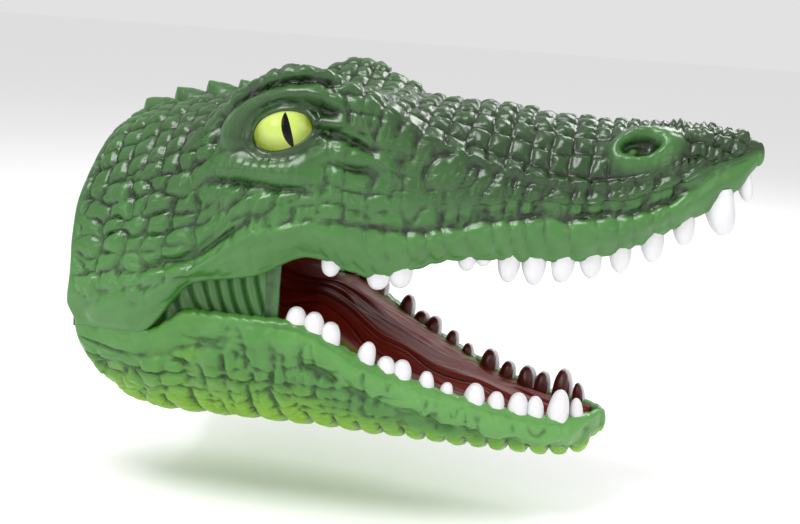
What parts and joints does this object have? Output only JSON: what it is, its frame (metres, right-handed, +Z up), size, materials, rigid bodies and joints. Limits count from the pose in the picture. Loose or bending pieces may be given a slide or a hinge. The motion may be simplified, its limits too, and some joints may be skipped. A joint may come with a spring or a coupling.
{
  "type": "moving mouth hand puppet",
  "caption": "Soft rubber crocodile-head hand puppet: hollow neck for the hand, toothed snout and a lower jaw that the thumb opens and closes.",
  "frame": {"origin": "on the table surface, under the middle of the head's bounding box, where the throat and the lower jaw rest", "axes": "+X the way the snout points, +Y the animal's left side, +Z up"},
  "size_m": [0.234, 0.1064, 0.1356],
  "materials": {
    "skin_top": "dark green soft rubber with a gloss coat",
    "skin_cheek": "mid green soft rubber",
    "skin_underside": "yellow-green soft rubber",
    "mouth_lining": "wet-looking maroon brown rubber",
    "tooth_enamel": "white painted rubber, glossy",
    "eye_yellow": "yellow-green painted, glossy",
    "pupil_black": "black painted, glossy"
  },
  "bodies": {
    "head": {"cheek_bellows_left": "skin_cheek", "cheek_bellows_right": "skin_cheek", "eye_left": "eye_yellow", "eye_right": "eye_yellow", "gullet_wall": "mouth_lining", "head_shell": "skin_top", "neck_scutes": "skin_top", "palate": "mouth_lining", "pupil_left": "pupil_black", "pupil_right": "pupil_black", "throat_skin": "skin_underside", "upper_tooth_left_1": "tooth_enamel", "upper_tooth_left_10": "tooth_enamel", "upper_tooth_left_11": "tooth_enamel", "upper_tooth_left_12": "tooth_enamel", "upper_tooth_left_2": "tooth_enamel", "upper_tooth_left_3": "tooth_enamel", "upper_tooth_left_4": "tooth_enamel", "upper_tooth_left_5": "tooth_enamel", "upper_tooth_left_6": "tooth_enamel", "upper_tooth_left_7": "tooth_enamel", "upper_tooth_left_8": "tooth_enamel", "upper_tooth_left_9": "tooth_enamel", "upper_tooth_right_1": "tooth_enamel", "upper_tooth_right_10": "tooth_enamel", "upper_tooth_right_11": "tooth_enamel", "upper_tooth_right_12": "tooth_enamel", "upper_tooth_right_2": "tooth_enamel", "upper_tooth_right_3": "tooth_enamel", "upper_tooth_right_4": "tooth_enamel", "upper_tooth_right_5": "tooth_enamel", "upper_tooth_right_6": "tooth_enamel", "upper_tooth_right_7": "tooth_enamel", "upper_tooth_right_8": "tooth_enamel", "upper_tooth_right_9": "tooth_enamel"},
    "jaw": {"lower_tooth_left_1": "tooth_enamel", "lower_tooth_left_10": "tooth_enamel", "lower_tooth_left_2": "tooth_enamel", "lower_tooth_left_3": "tooth_enamel", "lower_tooth_left_4": "tooth_enamel", "lower_tooth_left_5": "tooth_enamel", "lower_tooth_left_6": "tooth_enamel", "lower_tooth_left_7": "tooth_enamel", "lower_tooth_left_8": "tooth_enamel", "lower_tooth_left_9": "tooth_enamel", "lower_tooth_right_1": "tooth_enamel", "lower_tooth_right_10": "tooth_enamel", "lower_tooth_right_2": "tooth_enamel", "lower_tooth_right_3": "tooth_enamel", "lower_tooth_right_4": "tooth_enamel", "lower_tooth_right_5": "tooth_enamel", "lower_tooth_right_6": "tooth_enamel", "lower_tooth_right_7": "tooth_enamel", "lower_tooth_right_8": "tooth_enamel", "lower_tooth_right_9": "tooth_enamel", "jaw_shell": "skin_underside", "mouth_floor": "mouth_lining"}
  },
  "joints": [
    {"name": "jaw_hinge", "type": "hinge", "parent": "head", "child": "jaw", "pos_m": [-0.074, 0, 0.045], "axis": [0, 1, 0], "range_deg": [-14, 8], "stiffness_Nm_per_rad": 3, "deforming": ["throat_skin", "cheek_bellows_left", "cheek_bellows_right", "gullet_wall"]}
  ]
}
